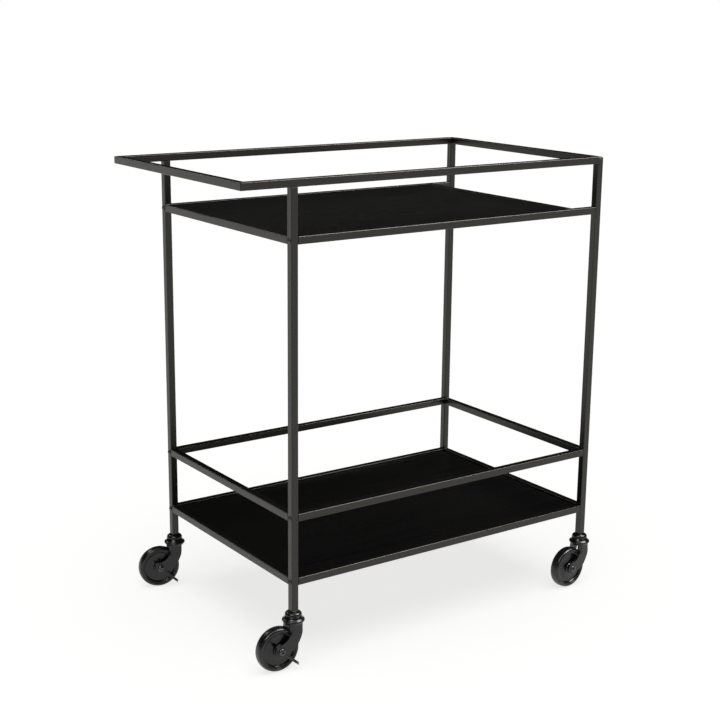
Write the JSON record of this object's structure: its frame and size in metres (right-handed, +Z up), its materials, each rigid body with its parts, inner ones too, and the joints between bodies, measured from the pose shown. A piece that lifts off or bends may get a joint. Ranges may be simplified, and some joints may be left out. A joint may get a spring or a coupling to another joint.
{
  "type": "bar cart",
  "caption": "Two-shelf bar cart in black square steel tube, with a push handle, a lower guard rail, wood-look shelves and swivel casters.",
  "frame": {"origin": "on the floor, under the middle of the whole cart's box", "axes": "+Z up, +X along the cart away from the handle, +Y across the cart"},
  "size_m": [0.7119, 0.4381, 0.762],
  "materials": {
    "frame_paint": "satin black powder coat with a fine texture on square steel tube",
    "shelf_wood": "black-stained open-grain board, grain along the cart, satin",
    "bolt_steel": "black-finished button-head socket screw",
    "plug_plastic": "black moulded tube plug",
    "caster_steel": "glossy black coated pressed steel",
    "wheel_plastic": "black moulded wheel centre",
    "tyre_rubber": "smooth black tread with a soft sheen"
  },
  "bodies": {
    "frame": {"post_front_left": "frame_paint", "post_back_left": "frame_paint", "post_front_right": "frame_paint", "post_back_right": "frame_paint", "post_plug_front_right": "plug_plastic", "post_plug_back_right": "plug_plastic", "lower_rail_front": "frame_paint", "lower_rail_back": "frame_paint", "lower_rail_left": "frame_paint", "lower_rail_right": "frame_paint", "guard_rail_front": "frame_paint", "guard_rail_back": "frame_paint", "guard_rail_left": "frame_paint", "guard_rail_right": "frame_paint", "upper_rail_front": "frame_paint", "upper_rail_back": "frame_paint", "upper_rail_left": "frame_paint", "upper_rail_right": "frame_paint", "top_rail_front": "frame_paint", "top_rail_back": "frame_paint", "top_rail_right": "frame_paint", "handle_bar": "frame_paint", "lower_panel": "shelf_wood", "upper_panel": "shelf_wood", "bolt_lower_front_left": "bolt_steel", "bolt_lower_back_left": "bolt_steel", "bolt_lower_front_right": "bolt_steel", "bolt_lower_back_right": "bolt_steel", "bolt_guard_front_left": "bolt_steel", "bolt_guard_back_left": "bolt_steel", "bolt_guard_front_right": "bolt_steel", "bolt_guard_back_right": "bolt_steel", "bolt_upper_front_left": "bolt_steel", "bolt_upper_back_left": "bolt_steel", "bolt_upper_front_right": "bolt_steel", "bolt_upper_back_right": "bolt_steel", "caster_stem_front_left": "caster_steel", "caster_stem_back_left": "caster_steel", "caster_stem_front_right": "caster_steel", "caster_stem_back_right": "caster_steel"},
    "swivel_front_left": {"caster_fork_front_left": "caster_steel", "caster_axle_front_left": "caster_steel"},
    "wheel_front_left": {"caster_wheel_front_left": "wheel_plastic", "caster_tyre_front_left": "tyre_rubber"},
    "brake_front_left": {"brake_lever_front_left": "caster_steel"},
    "swivel_back_left": {"caster_fork_back_left": "caster_steel", "caster_axle_back_left": "caster_steel"},
    "wheel_back_left": {"caster_wheel_back_left": "wheel_plastic", "caster_tyre_back_left": "tyre_rubber"},
    "brake_back_left": {"brake_lever_back_left": "caster_steel"},
    "swivel_front_right": {"caster_fork_front_right": "caster_steel", "caster_axle_front_right": "caster_steel"},
    "wheel_front_right": {"caster_wheel_front_right": "wheel_plastic", "caster_tyre_front_right": "tyre_rubber"},
    "swivel_back_right": {"caster_fork_back_right": "caster_steel", "caster_axle_back_right": "caster_steel"},
    "wheel_back_right": {"caster_wheel_back_right": "wheel_plastic", "caster_tyre_back_right": "tyre_rubber"}
  },
  "joints": [
    {"name": "caster_swivel_front_left", "type": "hinge", "parent": "frame", "child": "swivel_front_left", "pos_m": [-0.266, -0.197, 0.0798], "axis": [0, 0, 1], "continuous": true},
    {"name": "wheel_spin_front_left", "type": "hinge", "parent": "swivel_front_left", "child": "wheel_front_left", "pos_m": [-0.2955, -0.19648, 0.036], "axis": [0.0175, 0.9998, 0], "continuous": true},
    {"name": "brake_pedal_front_left", "type": "hinge", "parent": "swivel_front_left", "child": "brake_front_left", "pos_m": [-0.2955, -0.19648, 0.036], "axis": [0.0175, 0.9998, 0], "range_deg": [-24, 0]},
    {"name": "caster_swivel_back_left", "type": "hinge", "parent": "frame", "child": "swivel_back_left", "pos_m": [-0.266, 0.197, 0.0798], "axis": [0, 0, 1], "continuous": true},
    {"name": "wheel_spin_back_left", "type": "hinge", "parent": "swivel_back_left", "child": "wheel_back_left", "pos_m": [-0.29474, 0.20364, 0.036], "axis": [0.225, 0.9744, 0], "continuous": true},
    {"name": "brake_pedal_back_left", "type": "hinge", "parent": "swivel_back_left", "child": "brake_back_left", "pos_m": [-0.29474, 0.20364, 0.036], "axis": [0.225, 0.9744, 0], "range_deg": [-24, 0]},
    {"name": "caster_swivel_front_right", "type": "hinge", "parent": "frame", "child": "swivel_front_right", "pos_m": [0.338, -0.197, 0.0798], "axis": [0, 0, 1], "continuous": true},
    {"name": "wheel_spin_front_right", "type": "hinge", "parent": "swivel_front_right", "child": "wheel_front_right", "pos_m": [0.30861, -0.19957, 0.036], "axis": [-0.0872, 0.9962, 0], "continuous": true},
    {"name": "caster_swivel_back_right", "type": "hinge", "parent": "frame", "child": "swivel_back_right", "pos_m": [0.338, 0.197, 0.0798], "axis": [0, 0, 1], "continuous": true},
    {"name": "wheel_spin_back_right", "type": "hinge", "parent": "swivel_back_right", "child": "wheel_back_right", "pos_m": [0.30872, 0.20059, 0.036], "axis": [0.1219, 0.9925, 0], "continuous": true}
  ]
}
